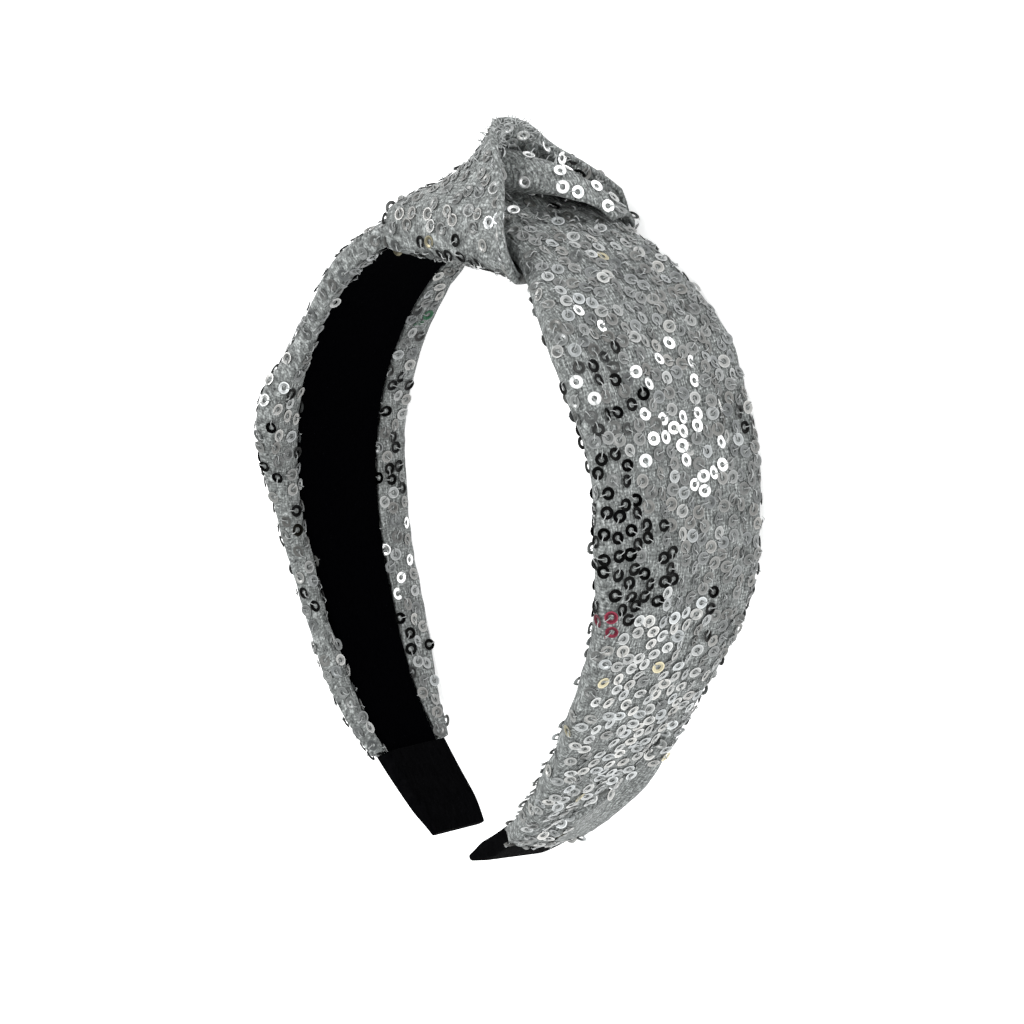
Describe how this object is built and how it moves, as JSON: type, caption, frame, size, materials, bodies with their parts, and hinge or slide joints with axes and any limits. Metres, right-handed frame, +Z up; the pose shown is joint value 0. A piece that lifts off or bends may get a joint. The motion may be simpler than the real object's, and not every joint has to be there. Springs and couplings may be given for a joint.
{
  "type": "top knot headband",
  "caption": "Wide open headband: a stiff lined arch in hollow sequin-cloth covers that meet in a flared knot at the top, with plain black sleeves on the tips.",
  "frame": {"origin": "on the surface that the headband lies on, under the middle of its bounding box", "axes": "+Y from the open tips towards the knot; +Z up through the head opening, from the headband's back edge to its front edge; +X towards the near leg, which the knot's mouth opens to"},
  "size_m": [0.1228, 0.1696, 0.0459],
  "materials": {
    "black_lining": "deep black velvet ribbon",
    "sequin_cloth": "grey knitted cloth covered in small silver ring sequins",
    "black_sleeve": "matt black woven cloth"
  },
  "bodies": {
    "root": {"lined_band": "black_lining", "near_leg_cover": "sequin_cloth", "far_leg_cover": "sequin_cloth", "knot_wrap": "sequin_cloth", "knot_fold": "sequin_cloth", "near_tip_sleeve": "black_sleeve", "far_tip_sleeve": "black_sleeve"}
  },
  "joints": []
}
